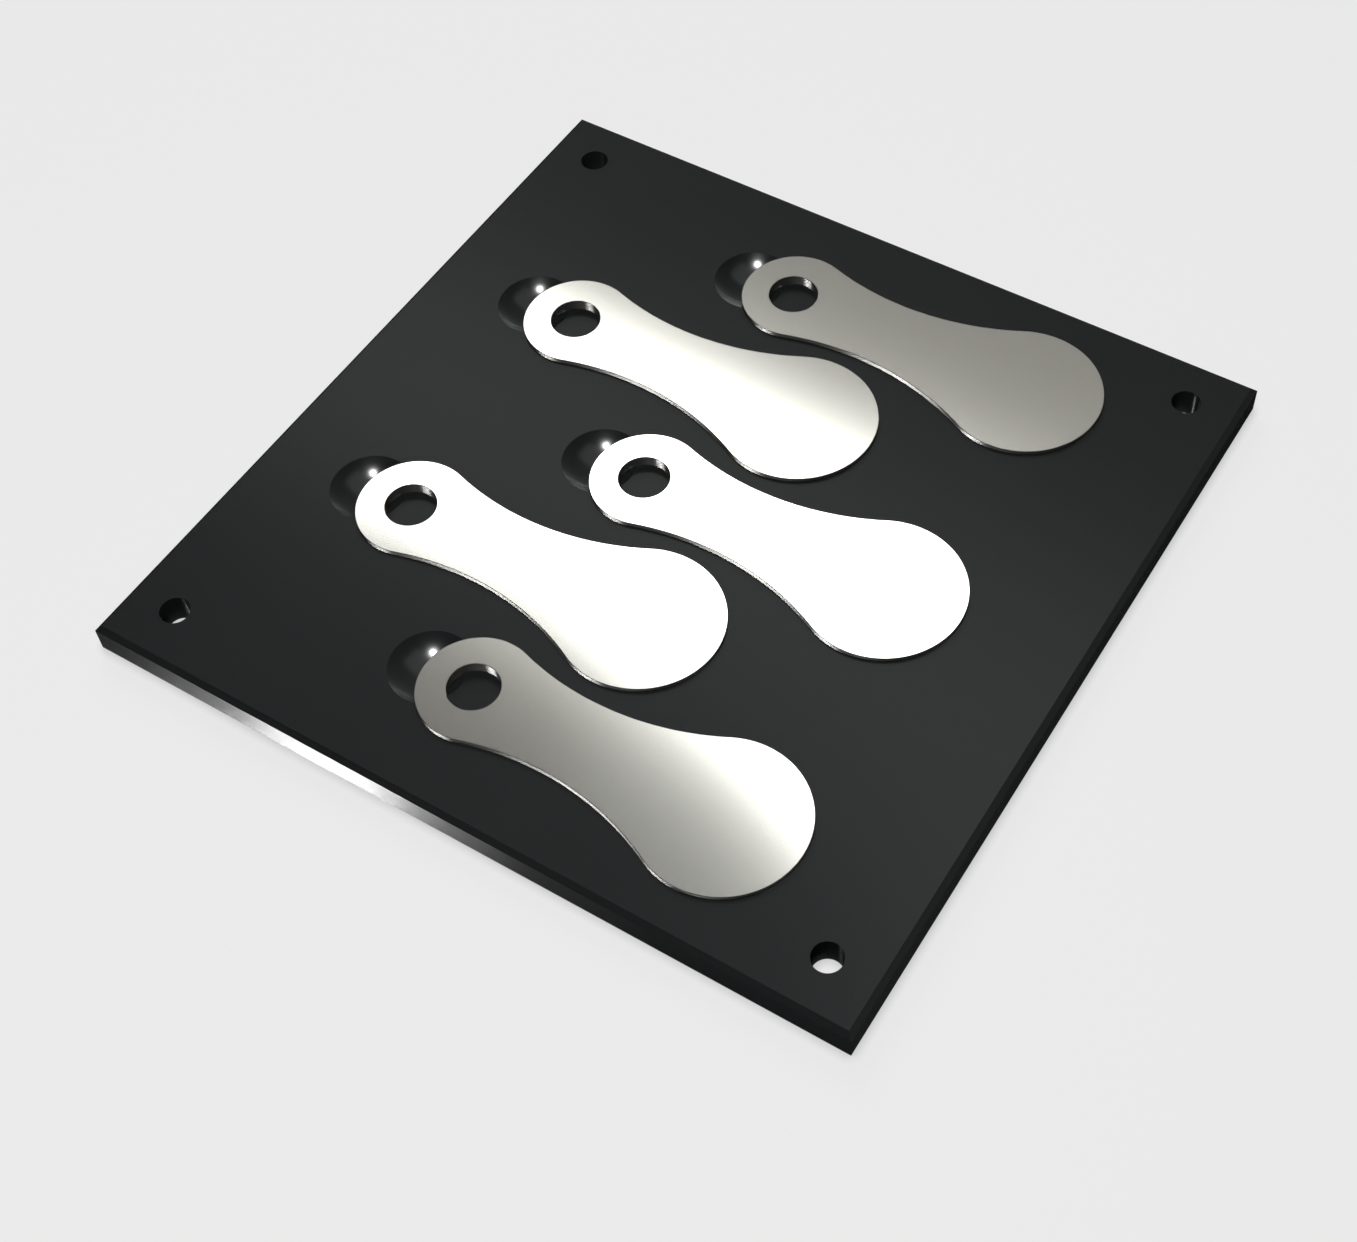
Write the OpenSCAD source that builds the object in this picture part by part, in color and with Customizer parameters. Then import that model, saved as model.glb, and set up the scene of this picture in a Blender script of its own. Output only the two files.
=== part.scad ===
// Laser jig: a square plate with staggered pockets that hold paddle-shaped metal blanks
// level under a laser, and a round finger recess beside each blank to tip it out.
// Millimetres, +Z up. The origin is the centre of the plate's underside.
// The blanks point along +X, with their small, drilled ends towards -X.

/* [Plate] */
// Thickness of the plate
plate_t = 6; // [5.5:0.1:12]
// Plate left between the outermost blanks and the plate's edge
edge_margin = 8; // [5:0.1:20]
// Chamfer along the four top edges
edge_chamfer = 1; // [0.4:0.1:2]

/* [Corner holes] */
// Diameter of the fixing hole in each corner
corner_hole_d = 5.5; // [3.4:0.1:6.6]
// Distance from a fixing hole's centre to the two edges beside it
corner_inset = 10; // [7:0.5:12]

/* [Blank] */
// Thickness of a blank
blank_t = 2.2; // [1.8:0.1:5]
// Diameter of the large end
head_d = 30; // [26:0.2:40]
// Diameter of the small end
tail_d = 21.2; // [18.4:0.2:26]
// Width at the narrowest place of the neck
neck_w = 15.6; // [12:0.2:18]
// Distance between the centres of the two round ends
end_distance = 49; // [44:0.5:60]
// Diameter of the ring hole in the small end
ring_hole_d = 9.5; // [6:0.1:10.6]
// Metal left between the ring hole and the tip of the small end
ring_hole_rim = 5.2; // [3:0.1:7]

/* [Layout] */
// Number of rows, with one blank in each
rows = 5; // [3:1:7]
// Web of plate left between a blank's large end and the neck in the next row
web = 3.7; // [2:0.1:10]
// Distance that every second row is set back along X
stagger = 33; // [28:0.5:38]

/* [Pocket] */
// Depth of a pocket below the top face
pocket_depth = 1.4; // [0.6:0.1:1.7]
// Gap all round between a blank and its pocket
pocket_gap = 0.1; // [0.05:0.05:0.4]

/* [Finger recess] */
// Diameter of the recess at the top face
recess_d = 15.2; // [13:0.2:18]
// Depth of the recess below the top face
recess_depth = 3.2; // [2.2:0.1:4.2]
// Distance of the recess centre inside the tip of the small end
recess_inside = 0.8; // [0:0.1:2]

/* [Hidden] */
$fn = 128;
// How far a cutter runs past the face that it cuts
past = 1;

head_r = head_d / 2;
tail_r = tail_d / 2;

// The neck is one arc on each side, tangent to both round ends. The centre of an arc
// of radius r lies at neck_a + neck_b * r along the blank and neck_w / 2 + r beside it,
// so its distance from the small end's centre, tail_r + r, gives a quadratic in r.
neck_a = (pow(end_distance, 2) + pow(tail_r, 2) - pow(head_r, 2)) / (2 * end_distance);
neck_b = (tail_r - head_r) / end_distance;
neck_q1 = 2 * neck_a * neck_b + neck_w - tail_d;
neck_q0 = pow(neck_a, 2) + pow(neck_w / 2, 2) - pow(tail_r, 2);
neck_r = 2 * neck_q0 / (sqrt(pow(neck_q1, 2) - 4 * pow(neck_b, 2) * neck_q0) - neck_q1);
neck_x = neck_a + neck_b * neck_r;
neck_y = neck_w / 2 + neck_r;
// The neck discs bite this far into the round ends, so that the arcs cross and don't
// only touch, which leaves a clean corner of under two degrees
neck_bite = 0.005;

// Centre of the ring hole from the small end's centre
ring_hole_x = ring_hole_rim + ring_hole_d / 2 - tail_r;
// Centre of the finger recess from the small end's centre
recess_x = recess_inside - tail_r;
// Ball that leaves a recess of that diameter and depth
recess_ball_r = (pow(recess_d / 2, 2) + pow(recess_depth, 2)) / (2 * recess_depth);

// The rows are as close as the web allows, and the whole pattern is centred
row_pitch = head_r + neck_w / 2 + web;
pattern_x = tail_r + end_distance + head_r + stagger;
pattern_y = (rows - 1) * row_pitch + head_d;
// The plate is square. The recesses stand out of the pattern at its back.
recess_out = recess_d / 2 - recess_inside;
plate_w = max(pattern_y, pattern_x + 2 * recess_out) + 2 * edge_margin;

pocket_z = plate_t - pocket_depth;

// Place of the small end's centre in row i, counted from the front edge
function blank_x(i) = tail_r - pattern_x / 2 + (i % 2 == 0 ? stagger : 0);
function blank_y(i) = (i - (rows - 1) / 2) * row_pitch;

// Outline of a blank with its small end's centre at the origin, grown by g all round.
// The neck is the kite between the centres of the four arcs, less the two neck discs.
module blank_outline(g = 0) {
    circle(r = tail_r + g);
    translate([end_distance, 0]) circle(r = head_r + g);
    difference() {
        polygon([[0, 0], [neck_x, -neck_y], [end_distance, 0], [neck_x, neck_y]]);
        for (side = [-1, 1])
            translate([neck_x, side * neck_y]) circle(r = neck_r - g + neck_bite);
    }
}

// Side view of the plate, with the chamfer at its top edges
module plate_profile() {
    half = plate_w / 2;
    polygon([
        [-half, 0],
        [half, 0],
        [half, plate_t - edge_chamfer],
        [half - edge_chamfer, plate_t],
        [edge_chamfer - half, plate_t],
        [-half, plate_t - edge_chamfer]
    ]);
}

// The bare plate, chamfered on all four sides
module plate_body() {
    intersection() {
        rotate([90, 0, 0]) linear_extrude(plate_w + 2 * past, center = true) plate_profile();
        rotate([90, 0, 90]) linear_extrude(plate_w + 2 * past, center = true) plate_profile();
    }
}

// Cutters for one blank: its pocket, and the ball-shaped finger recess that runs under it
module pocket_cut() {
    translate([0, 0, pocket_z]) linear_extrude(pocket_depth + past) blank_outline(pocket_gap);
    translate([recess_x, 0, plate_t - recess_depth + recess_ball_r]) sphere(r = recess_ball_r);
}

// Fixing holes through the four corners
module corner_holes() {
    reach = plate_w / 2 - corner_inset;
    for (x = [-reach, reach], y = [-reach, reach])
        translate([x, y, -past]) cylinder(d = corner_hole_d, h = plate_t + 2 * past);
}

// The jig plate: one machined and anodised piece
module jig_plate() {
    color("#2b2e30")
        difference() {
            plate_body();
            corner_holes();
            for (i = [0 : rows - 1])
                translate([blank_x(i), blank_y(i), 0]) pocket_cut();
        }
}

// One blank, lying on the floor of the pocket in row i
module blank(i) {
    color("#c9c7c1")
        translate([blank_x(i), blank_y(i), pocket_z])
            difference() {
                linear_extrude(blank_t) blank_outline();
                translate([ring_hole_x, 0, -past]) cylinder(d = ring_hole_d, h = blank_t + 2 * past);
            }
}

jig_plate();
for (i = [0 : rows - 1]) blank(i);
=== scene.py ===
import math

import bpy
from mathutils import Matrix, Vector


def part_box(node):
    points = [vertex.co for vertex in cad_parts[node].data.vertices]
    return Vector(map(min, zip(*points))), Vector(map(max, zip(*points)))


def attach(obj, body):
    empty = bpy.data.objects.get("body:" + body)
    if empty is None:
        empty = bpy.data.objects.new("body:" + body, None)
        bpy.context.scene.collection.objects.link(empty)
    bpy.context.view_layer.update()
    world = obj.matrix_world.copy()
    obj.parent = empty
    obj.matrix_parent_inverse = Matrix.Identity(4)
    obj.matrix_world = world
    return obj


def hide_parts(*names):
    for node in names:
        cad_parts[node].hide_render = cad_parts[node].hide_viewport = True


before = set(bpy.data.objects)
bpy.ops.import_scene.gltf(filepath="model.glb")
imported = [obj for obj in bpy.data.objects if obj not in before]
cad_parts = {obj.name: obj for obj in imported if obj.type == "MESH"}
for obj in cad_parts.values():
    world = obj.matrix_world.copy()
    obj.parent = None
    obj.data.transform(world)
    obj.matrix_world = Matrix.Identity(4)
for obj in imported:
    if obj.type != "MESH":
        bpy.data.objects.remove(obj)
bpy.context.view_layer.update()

# Jig plate
# The real plate is one piece of aluminium. Its pockets and ball-shaped finger recesses are
# milled into the top face, its upper edges are chamfered, and all of it is anodised black.

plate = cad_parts["jig_plate"]
deep_black = (0.0136, 0.0148, 0.0153)
soft_black = (0.0152, 0.0165, 0.0169)
plate_roughness = 0.19
plate_roughness_spread = 0.02
plate_reflectivity = 0.068
plate_cloud_scale = 25.0
plate_grain_scale = 6000.0
plate_grain_depth = 0.00002
plate_grain_strength = 0.02


class Wire:
    """An output socket of a node tree. Arithmetic with wires and numbers adds Math nodes."""

    def __init__(self, tree, socket):
        self.tree = tree
        self.socket = socket

    def node(self, kind, settings=None, inputs=None, out=0):
        """Adds a node: its settings first, then the values or wires of its sockets."""
        node = self.tree.nodes.new(kind)
        for name, value in (settings or {}).items():
            setattr(node, name, value)
        for name, value in (inputs or {}).items():
            if isinstance(value, Wire):
                self.tree.links.new(value.socket, node.inputs[name])
            else:
                node.inputs[name].default_value = value
        return Wire(self.tree, node.outputs[out] if node.outputs else None)

    def math(self, operation, first, second=0.0):
        return self.node("ShaderNodeMath", {"operation": operation}, {0: first, 1: second})

    def __add__(self, other):
        return self.math("ADD", self, other)

    def __sub__(self, other):
        return self.math("SUBTRACT", self, other)

    def __rsub__(self, other):
        return self.math("SUBTRACT", other, self)

    def __mul__(self, other):
        return self.math("MULTIPLY", self, other)

    def __neg__(self):
        return self.math("SUBTRACT", 0.0, self)

    __radd__ = __add__
    __rmul__ = __mul__

    def mix(self, low, high):
        """Goes from one colour to another as this wire goes from 0 to 1."""
        low, high = (colour if isinstance(colour, Wire) else (*colour, 1) for colour in (low, high))
        factor, colour_a, colour_b, colour_out = 0, 6, 7, 2
        return self.node("ShaderNodeMix", {"data_type": "RGBA"}, {
            factor: self, colour_a: low, colour_b: high}, out=colour_out)


def empty_tree(tree):
    """Clears a node tree and returns a wire that only serves to add nodes to it."""
    tree.nodes.clear()
    return Wire(tree, None)


def new_material(name):
    material = bpy.data.materials.new(name)
    material.use_nodes = True
    return material, empty_tree(material.node_tree)


def anodised_black():
    material, tree = new_material("black anodised")
    place = tree.node("ShaderNodeTexCoord", out="Object")
    cloud = tree.node("ShaderNodeTexNoise", None, {
        "Vector": place, "Scale": plate_cloud_scale, "Detail": 3.0})
    grain = tree.node("ShaderNodeTexNoise", None, {
        "Vector": place, "Scale": plate_grain_scale, "Detail": 2.0})
    bump = tree.node("ShaderNodeBump", None, {
        "Height": grain, "Strength": plate_grain_strength, "Distance": plate_grain_depth})
    shader = tree.node("ShaderNodeBsdfPrincipled", None, {
        "Base Color": cloud.mix(deep_black, soft_black),
        "Roughness": plate_roughness + plate_roughness_spread * cloud,
        "Specular IOR Level": plate_reflectivity,
        "Normal": bump,
    })
    tree.node("ShaderNodeOutputMaterial", None, {"Surface": shader})
    return material


plate.data.materials.clear()
plate.data.materials.append(anodised_black())

# Blanks
# The real blanks are cut from stainless sheet 2.2 mm thick, with their edges just broken. Faces
# and walls are polished, the walls a little coarser. Each blank only lies in its pocket.

blank_nodes = sorted(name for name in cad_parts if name.startswith("blank_"))

# Sizes in metres, the same as the solid blank's apart from the broken edge
small_r = 0.0106
large_r = 0.015
end_distance = 0.049
neck_w = 0.0156
blank_t = 0.0022
hole_r = 0.00475
hole_x = -0.00065
edge_break = 0.00008
broken_above = math.radians(60)
smooth_below = math.radians(30)
small_points = 72
large_points = 96
neck_points = 48
hole_points = 64
weld_distance = 1e-6

steel_dark = (0.720, 0.700, 0.660)
steel_light = (0.735, 0.715, 0.675)
steel_roughness = 0.118
steel_roughness_spread = 0.002
steel_cloud_scale = 70.0
steel_grain_scales = (40.0, 2500.0, 40.0)
wall_dark = (0.66, 0.65, 0.62)
wall_light = (0.74, 0.73, 0.70)
wall_roughness = 0.13
wall_roughness_spread = 0.03
wall_grain_scales = (2500.0, 2500.0, 150.0)
wall_grain_depth = 0.00003
wall_grain_strength = 0.015

# The neck is one arc on each side that touches both round ends
neck_a = (end_distance ** 2 + small_r ** 2 - large_r ** 2) / (2 * end_distance)
neck_b = (small_r - large_r) / end_distance
neck_q1 = 2 * neck_a * neck_b + neck_w - 2 * small_r
neck_q0 = neck_a ** 2 + (neck_w / 2) ** 2 - small_r ** 2
neck_r = 2 * neck_q0 / (math.sqrt(neck_q1 ** 2 - 4 * neck_b ** 2 * neck_q0) - neck_q1)
neck_x = neck_a + neck_b * neck_r
neck_y = neck_w / 2 + neck_r


def polished_steel():
    material, tree = new_material("polished steel")
    place = tree.node("ShaderNodeTexCoord", out="Object")
    along = tree.node("ShaderNodeMapping", None, {"Vector": place, "Scale": steel_grain_scales})
    cloud = tree.node("ShaderNodeTexNoise", None, {
        "Vector": place, "Scale": steel_cloud_scale, "Detail": 3.0})
    grain = tree.node("ShaderNodeTexNoise", None, {"Vector": along, "Scale": 1.0, "Detail": 2.0})
    shader = tree.node("ShaderNodeBsdfPrincipled", None, {
        "Base Color": cloud.mix(steel_dark, steel_light),
        "Metallic": 1.0,
        "Roughness": steel_roughness + steel_roughness_spread * cloud + steel_roughness_spread * grain,
    })
    tree.node("ShaderNodeOutputMaterial", None, {"Surface": shader})
    return material


def wall_polish():
    material, tree = new_material("polished wall")
    place = tree.node("ShaderNodeTexCoord", out="Object")
    upright = tree.node("ShaderNodeMapping", None, {"Vector": place, "Scale": wall_grain_scales})
    grain = tree.node("ShaderNodeTexNoise", None, {"Vector": upright, "Scale": 1.0, "Detail": 2.0})
    bump = tree.node("ShaderNodeBump", None, {
        "Height": grain, "Strength": wall_grain_strength, "Distance": wall_grain_depth})
    shader = tree.node("ShaderNodeBsdfPrincipled", None, {
        "Base Color": grain.mix(wall_dark, wall_light),
        "Metallic": 1.0,
        "Roughness": wall_roughness + wall_roughness_spread * grain,
        "Normal": bump,
    })
    tree.node("ShaderNodeOutputMaterial", None, {"Surface": shader})
    return material


def blank_tree(faces, walls):
    """A drilled blank: four arcs and a circle, filled and raised to the thickness."""
    group = bpy.data.node_groups.new("blank", "GeometryNodeTree")
    group.is_modifier = True
    for name in ("Small end radius", "Large end radius", "End distance", "Neck radius", "Neck x", "Neck y",
                 "Hole radius", "Hole x", "Thickness"):
        group.interface.new_socket(name, in_out="INPUT", socket_type="NodeSocketFloat")
    group.interface.new_socket("Place", in_out="INPUT", socket_type="NodeSocketVector")
    group.interface.new_socket("Geometry", in_out="OUTPUT", socket_type="NodeSocketGeometry")
    tree = empty_tree(group)
    sockets = tree.node("NodeGroupInput").socket.node.outputs
    size = {socket.name: Wire(group, socket) for socket in sockets if socket.name}
    small_turn = tree.math("ARCTAN2", size["Neck y"], size["Neck x"])
    large_turn = tree.math("ARCTAN2", size["Neck y"], size["Neck x"] - size["End distance"])

    def arc(x, y, radius, start, sweep, points):
        centre = tree.node("ShaderNodeCombineXYZ", None, {"X": x, "Y": y})
        curve = tree.node("GeometryNodeCurveArc", {"mode": "RADIUS"}, {
            "Resolution": points, "Radius": radius, "Start Angle": start, "Sweep Angle": sweep})
        moved = tree.node("GeometryNodeTransform", None, {"Geometry": curve, "Translation": centre})
        return tree.node("GeometryNodeCurveToMesh", None, {"Curve": moved})

    def join(parts):
        joined = tree.node("GeometryNodeJoinGeometry")
        for part in parts:
            group.links.new(part.socket, joined.socket.node.inputs[0])
        return joined

    def weld(part):
        return tree.node("GeometryNodeMergeByDistance", None, {"Geometry": part, "Distance": weld_distance})

    arcs = [
        arc(0.0, 0.0, size["Small end radius"], small_turn, 2 * math.pi - 2 * small_turn, small_points),
        arc(size["End distance"], 0.0, size["Large end radius"], -large_turn, 2 * large_turn, large_points),
        arc(size["Neck x"], size["Neck y"], size["Neck radius"],
            large_turn - math.pi, small_turn - large_turn, neck_points),
        arc(size["Neck x"], -size["Neck y"], size["Neck radius"],
            math.pi - small_turn, small_turn - large_turn, neck_points),
    ]
    outline = tree.node("GeometryNodeMeshToCurve", None, {"Mesh": weld(join(arcs))})
    circle = tree.node("GeometryNodeCurvePrimitiveCircle", None, {
        "Resolution": hole_points, "Radius": size["Hole radius"]})
    hole_centre = tree.node("ShaderNodeCombineXYZ", None, {"X": size["Hole x"]})
    hole = tree.node("GeometryNodeTransform", None, {"Geometry": circle, "Translation": hole_centre})
    bottom = tree.node("GeometryNodeFillCurve", {"mode": "NGONS"}, {"Curve": join([hole, outline])})
    raised = tree.node("GeometryNodeExtrudeMesh", {"mode": "FACES"}, {
        "Mesh": bottom, "Offset Scale": size["Thickness"], "Individual": False})
    side_faces = Wire(group, raised.socket.node.outputs["Side"])
    turned = tree.node("GeometryNodeFlipFaces", None, {"Mesh": bottom})
    top = tree.node("GeometryNodeSetMaterial", None, {"Geometry": raised, "Material": faces})
    walled = tree.node("GeometryNodeSetMaterial", None, {
        "Geometry": top, "Selection": side_faces, "Material": walls})
    underside = tree.node("GeometryNodeSetMaterial", None, {"Geometry": turned, "Material": faces})
    closed = weld(join([underside, walled]))
    placed = tree.node("GeometryNodeTransform", None, {"Geometry": closed, "Translation": size["Place"]})
    real = tree.node("GeometryNodeRealizeInstances", None, {"Geometry": placed})
    tree.node("NodeGroupOutput", None, {"Geometry": real})
    return group


face_steel = polished_steel()
wall_steel = wall_polish()
blank_shape = blank_tree(face_steel, wall_steel)
blank_sizes = {
    "Small end radius": small_r, "Large end radius": large_r, "End distance": end_distance,
    "Neck radius": neck_r, "Neck x": neck_x, "Neck y": neck_y,
    "Hole radius": hole_r, "Hole x": hole_x, "Thickness": blank_t,
}


def set_inputs(modifier, values):
    """Finds a Geometry Nodes modifier's inputs by name and sets them by identifier."""
    for item in modifier.node_group.interface.items_tree:
        if item.name in values:
            modifier[item.identifier] = values[item.name]


def as_mesh(obj, name):
    """A plain mesh of the evaluated object, without its modifiers."""
    graph = bpy.context.evaluated_depsgraph_get()
    mesh = bpy.data.meshes.new_from_object(obj.evaluated_get(graph), depsgraph=graph)
    mesh.name = name
    obj.modifiers.clear()
    obj.data = mesh
    return mesh


blanks = bpy.data.collections.new("blanks")
for name in blank_nodes:
    low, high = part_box(name)
    blank = bpy.data.objects.new(name + "_steel", bpy.data.meshes.new(name))
    blank.data.materials.append(face_steel)
    blank.data.materials.append(wall_steel)
    bpy.context.scene.collection.objects.link(blank)
    blanks.objects.link(blank)
    shape = blank.modifiers.new("shape", "NODES")
    shape.node_group = blank_shape
    set_inputs(shape, {**blank_sizes, "Place": (low[0] + small_r, (low[1] + high[1]) / 2, low[2])})
    bevel = blank.modifiers.new("edge break", "BEVEL")
    bevel.width = edge_break
    bevel.segments = 1
    bevel.limit_method = "ANGLE"
    bevel.angle_limit = broken_above
    bevel.material = blank.data.materials.find(face_steel.name)
    mesh = as_mesh(blank, name + "_steel")
    mesh.shade_smooth()
    mesh.set_sharp_from_angle(angle=smooth_below)
    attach(blank, "root")
    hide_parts(name)

# Floor
# A plain pale matt sheet under the jig. It fills the photograph's view, and past its edge the
# camera sees the pale room. The jig's faces don't mirror it, and the lamps below shine through.

floor_side = 12.0
floor_grey = 0.826
floor_matt = 0.80
floor_gap = 0.0001
# Painted shadow: near the jig, ambient occlusion darkens the floor's glow into a painted contact shadow
painted_shadow_reach = 0.0018
painted_shadow_depth = 0.5
painted_shadow_samples = 4
evenness = 0.92
bpy.ops.mesh.primitive_plane_add(size=floor_side, location=(0, 0, -floor_gap))
floor = bpy.context.object
floor.name = "floor"
floor.visible_glossy = False
floor.visible_shadow = False
floor_material, tree = new_material("pale floor")
seen = tree.node("ShaderNodeLightPath", out="Is Camera Ray")
# The camera mostly sees a glow whose strength ambient occlusion lowers next to the jig, a painted contact
# shadow. Only the small matt share shows real shadow.
open_share = tree.node("ShaderNodeAmbientOcclusion", {"samples": painted_shadow_samples}, {
    "Distance": painted_shadow_reach}, out="AO")
matt = tree.node("ShaderNodeBsdfDiffuse", None, {"Color": (floor_matt, floor_matt, floor_matt, 1)})
even = tree.node("ShaderNodeEmission", None, {
    "Color": (floor_grey, floor_grey, floor_grey, 1),
    "Strength": 1 - painted_shadow_depth + painted_shadow_depth * open_share})
shown = tree.node("ShaderNodeMixShader", None, {0: seen * evenness, 1: matt, 2: even})
tree.node("ShaderNodeOutputMaterial", None, {"Surface": shown})
floor.data.materials.append(floor_material)

# Light
# A dim room that is lighter at its back, one long softbox that the steel mirrors, a small bright
# lamp overhead, a few lamps below the floor, and fills that only light the plate and the floor.

front_grey = (0.0507, 0.0497, 0.0472)
back_grey = (0.410, 0.410, 0.387)
world = bpy.data.worlds.new("room")
bpy.context.scene.world = world
world.use_nodes = True
tree = empty_tree(world.node_tree)
seen = tree.node("ShaderNodeLightPath", out="Is Camera Ray")
way = tree.node("ShaderNodeTexCoord", out="Generated")
depth = tree.node("ShaderNodeSeparateXYZ", None, {"Vector": way}, out="Y")
height = tree.node("ShaderNodeSeparateXYZ", None, {"Vector": way}, out="Z")
upper = tree.math("GREATER_THAN", height, 0.0)
grey = upper.mix((0, 0, 0), depth.mix(front_grey, back_grey))
backdrop = tree.node("ShaderNodeBackground", None, {
    "Color": seen.mix(grey, (floor_grey, floor_grey, floor_grey))})
tree.node("ShaderNodeOutputWorld", None, {"Surface": backdrop})


def stand(place, side, back):
    """The matrix of something at a place, with its own X along side and its own Z along back."""
    return Matrix.Translation(place) @ Matrix((side, back.cross(side), back)).transposed().to_4x4()


def lamp(name, place, size, radiance, glossy=True, diffuse=True, receivers=None, blockers=None):
    """A lamp that faces the jig, round when its two sizes are the same. The camera doesn't see it."""
    light = bpy.data.lights.new(name, "AREA")
    is_round = size[0] == size[1]
    light.shape = "ELLIPSE" if is_round else "RECTANGLE"
    light.size, light.size_y = size
    area = size[0] * size[1] * (math.pi / 4 if is_round else 1)
    light.energy = radiance * math.pi * area
    holder = bpy.data.objects.new(name, light)
    bpy.context.scene.collection.objects.link(holder)
    back = Vector(place).normalized()
    side = Vector((-back.y, back.x, 0)).normalized()
    holder.matrix_world = stand(place, side, back)
    holder.visible_camera = False
    holder.visible_glossy = glossy
    holder.visible_diffuse = diffuse
    holder.light_linking.receiver_collection = receivers
    holder.light_linking.blocker_collection = blockers


plate_alone = bpy.data.collections.new("plate alone")
plate_alone.objects.link(plate)
matt_things = bpy.data.collections.new("matt things")
matt_things.objects.link(plate)
matt_things.objects.link(floor)

# The overhead lamp puts the small bright spot in each finger recess
lamp("overhead lamp", (0.0115, -0.329, 0.944), (0.10, 0.10), 3600.0, diffuse=False, receivers=plate_alone)

# Light from below the floor, which only the blanks block. The low lamp, its glow and its halo
# make the streak on the front face, the wall lamp and the low room light the walls of the
# blanks, and the back panel lights the rims of the recesses.
on_plate = {"diffuse": False, "receivers": plate_alone, "blockers": blanks}
on_walls = {"diffuse": False, "receivers": blanks, "blockers": blanks}
lamp("low lamp", (-0.4804, -0.4053, -0.8246), (0.105, 0.105), 26.0, receivers=plate_alone, blockers=blanks)
lamp("low glow", (-0.4900, -0.4134, -0.8411), (0.24, 0.24), 1.7, **on_plate)
lamp("low halo", (-0.5000, -0.4218, -0.8583), (0.44, 0.44), 0.14, **on_plate)
lamp("low wall lamp", (-0.4700, -0.3966, -0.8068), (0.30, 0.30), 26.0, **on_walls)
lamp("low back panel", (-0.25, 0.94, -0.22), (0.50, 0.16), 30.0, **on_plate)
lamp("low room", (0.0, -0.35, -0.94), (2.4, 2.4), 0.40, **on_walls)

# Matt light on the plate and the floor, most of it from the back left, so that the chamfers in
# the photograph's view stay dark
matt_only = {"glossy": False, "receivers": matt_things}
lamp("back left fill", (-1.10, 1.10, 1.26), (1.0, 1.0), 11.8, **matt_only)
lamp("front fill", (0.05, -0.15, 0.35), (0.10, 0.10), 29.0, **matt_only)
lamp("low front fill", (0.20, -0.80, -0.40), (0.30, 0.30), 6.0, **matt_only)
lamp("low right fill", (0.35, -0.10, -0.10), (0.10, 0.10), 22.0, **matt_only)

# The back softbox is a wedge with a bowed front edge, wider at its right end. A dim skirt at
# the same height borders that edge.
softbox_height = 3.0
softbox_white = (0.975, 1.0, 0.98, 1)
softbox_radiance = 4.11
skirt_radiance = 0.29
softbox_corners = [(-2.53, 2.285), (-2.53, 1.62), (-1.6, 1.645), (-1.0, 1.50),
                   (-0.6, 1.33), (0.2, -0.52), (2.0, -0.27), (2.0, 2.085)]
skirt_corners = [(-1.3, 1.57), (-1.3, 1.32), (-1.0, 1.13), (-0.75, 0.88), (-0.4, 0.4), (0.2, -0.9),
                 (0.2, -0.52), (-0.6, 1.33), (-1.0, 1.50)]


def panel(name, corners, radiance):
    """A flat glowing panel over the jig. Only mirrored rays find it, which keeps the steel smooth."""
    mesh = bpy.data.meshes.new(name)
    mesh.from_pydata([(x, y, softbox_height) for x, y in corners], [], [range(len(corners))])
    holder = bpy.data.objects.new(name, mesh)
    bpy.context.scene.collection.objects.link(holder)
    holder.visible_camera = False
    holder.visible_diffuse = False
    material, tree = new_material(name)
    glow = tree.node("ShaderNodeEmission", None, {"Color": softbox_white, "Strength": radiance})
    tree.node("ShaderNodeOutputMaterial", None, {"Surface": glow})
    material.cycles.emission_sampling = "NONE"
    mesh.materials.append(material)


panel("back_softbox", softbox_corners, softbox_radiance)
panel("softbox_skirt", skirt_corners, skirt_radiance)

# Camera
# It stands off the jig's front right corner and looks down on it at about 54 degrees. The
# small roll and shift come from the photograph's framing.

camera_place = (0.14152, -0.19640, 0.30492)
camera_azimuth = math.radians(33.4924)
camera_elevation = math.radians(54.2470)
camera_roll = math.radians(-2.6598)
lens = bpy.data.cameras.new("camera")
lens.sensor_width = 36.0
lens.lens = 56.576
lens.shift_x = -0.0556
lens.clip_start = 0.01
camera = bpy.data.objects.new("camera", lens)
bpy.context.scene.collection.objects.link(camera)
level = math.cos(camera_elevation)
back = Vector((math.sin(camera_azimuth) * level, -math.cos(camera_azimuth) * level,
               math.sin(camera_elevation)))
right = Vector((math.cos(camera_azimuth), math.sin(camera_azimuth), 0))
camera.matrix_world = stand(camera_place, right, back) @ Matrix.Rotation(camera_roll, 4, "Z")
bpy.context.scene.camera = camera
bpy.context.scene.view_settings.view_transform = "Standard"
